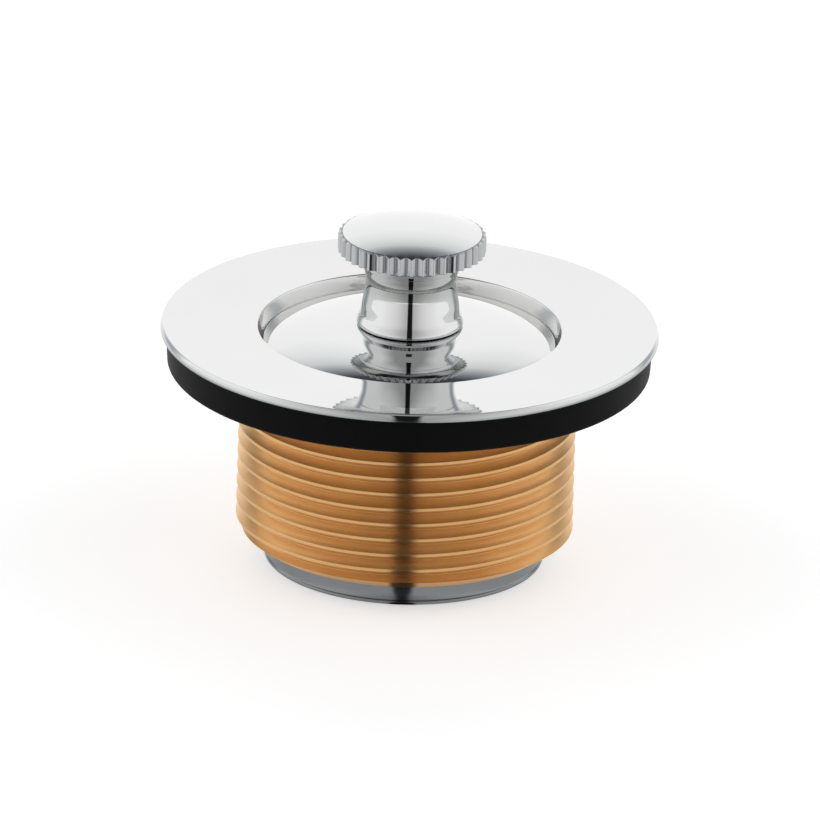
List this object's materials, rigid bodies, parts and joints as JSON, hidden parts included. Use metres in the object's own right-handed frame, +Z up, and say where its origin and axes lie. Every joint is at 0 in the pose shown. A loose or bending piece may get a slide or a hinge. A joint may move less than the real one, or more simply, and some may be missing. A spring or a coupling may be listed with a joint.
{
  "type": "lift and turn bath waste",
  "caption": "Flanged bath outlet with a threaded tail, crossbars and a stopper on a bayonet guide post, lifted and turned open by a knurled knob.",
  "frame": {"origin": "on the axis, at the lower end of the tail", "axes": "+Z up along the axis, from the tail to the knob; -Y faces the viewer of the picture"},
  "size_m": [0.0706, 0.0706, 0.0498],
  "materials": {
    "plated_body": "polished chrome on the flange and lip, bare brass on the thread",
    "chrome": "polished chrome plate",
    "turned_brass": "as turned",
    "black_rubber": "matt moulded rubber",
    "nylon": "natural nylon",
    "stainless": "bright stainless steel"
  },
  "bodies": {
    "fitting": {"waste_body": "plated_body", "flange_gasket": "black_rubber", "centre_post": "turned_brass", "post_lock_nut": "turned_brass"},
    "stopper": {"stopper_dome": "chrome", "plug_seal": "black_rubber", "seal_washer": "turned_brass", "seal_nut": "turned_brass", "spindle_o_ring": "black_rubber", "clip_washer": "nylon", "foot_washer": "nylon"},
    "knob_and_spindle": {"knob": "chrome", "spindle": "turned_brass", "cross_pin": "stainless", "spindle_clip": "stainless"}
  },
  "joints": [
    {"name": "stopper_lift", "type": "slide", "parent": "fitting", "child": "stopper", "axis": [0, 0, 1], "range_m": [0, 0.009]},
    {"name": "knob_turn", "type": "hinge", "parent": "stopper", "child": "knob_and_spindle", "pos_m": [0, 0, 0.04], "axis": [0, 0, 1], "range_deg": [0, 90]}
  ]
}
